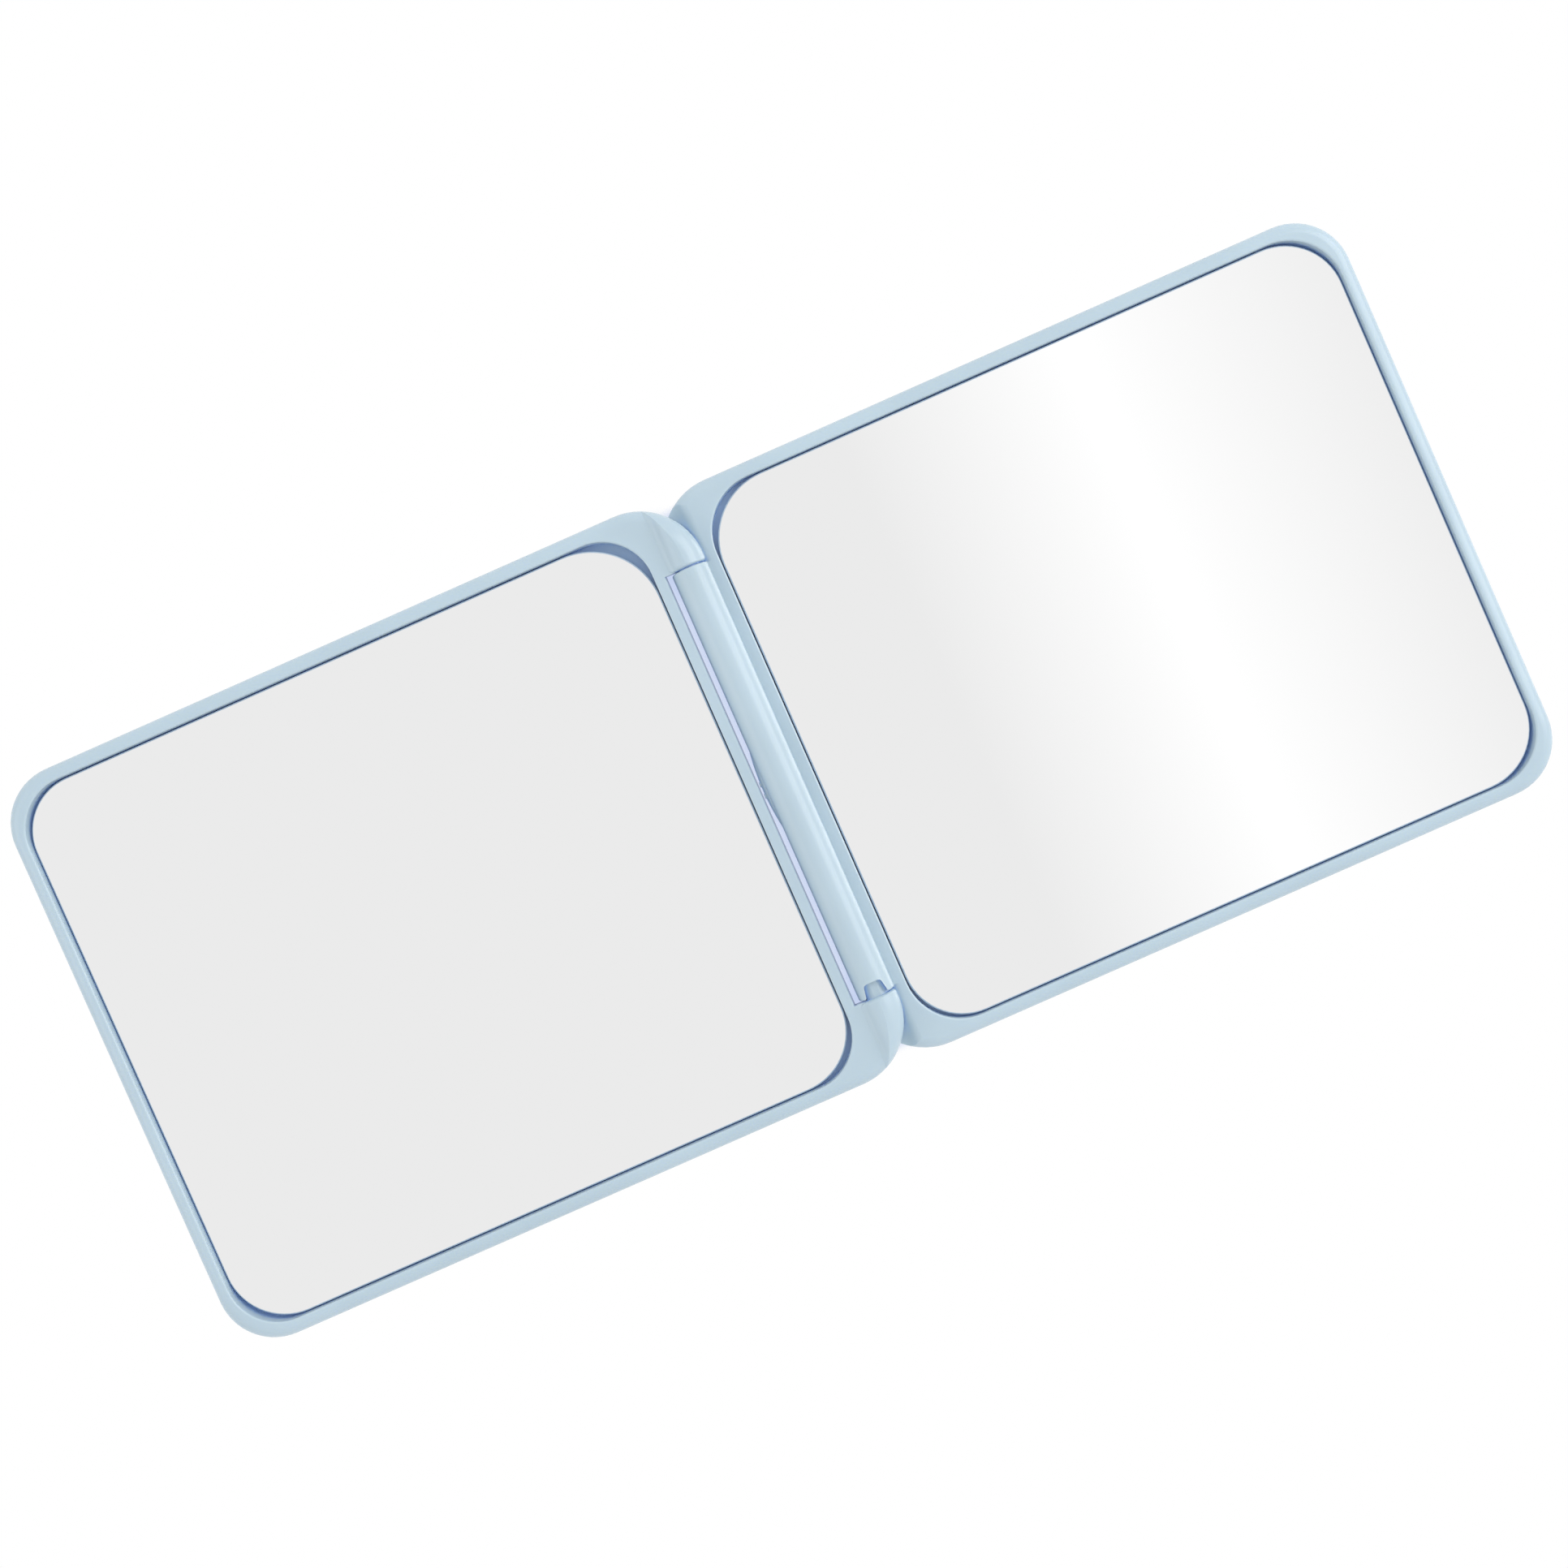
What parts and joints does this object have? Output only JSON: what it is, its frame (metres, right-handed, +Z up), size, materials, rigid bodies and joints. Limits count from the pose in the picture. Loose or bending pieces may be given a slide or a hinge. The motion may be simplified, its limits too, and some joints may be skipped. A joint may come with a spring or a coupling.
{
  "type": "compact mirror",
  "caption": "Folding pocket mirror: moulded plastic halves, each with a recessed glass mirror, joined along one edge by a barrel hinge that turns on stub pins.",
  "frame": {"origin": "on the resting plane, straight below the middle of the hinge axis, with the mirror open and flat", "axes": "+Z up out of the mirror faces, Y along the hinge axis, the lid half on +X and the base half on -X"},
  "size_m": [0.165, 0.07, 0.0072],
  "materials": {
    "shell": "moulded, soft gloss",
    "mirror": "silvered glass",
    "pad": "foam tape"
  },
  "bodies": {
    "base": {"base_shell": "shell", "base_mirror": "mirror", "base_pad": "pad"},
    "lid": {"lid_shell": "shell", "lid_mirror": "mirror", "lid_pad": "pad"}
  },
  "joints": [
    {"name": "lid_fold", "type": "hinge", "parent": "base", "child": "lid", "pos_m": [0, 0, 0.0051], "axis": [0, -1, 0], "range_deg": [0, 180]}
  ]
}
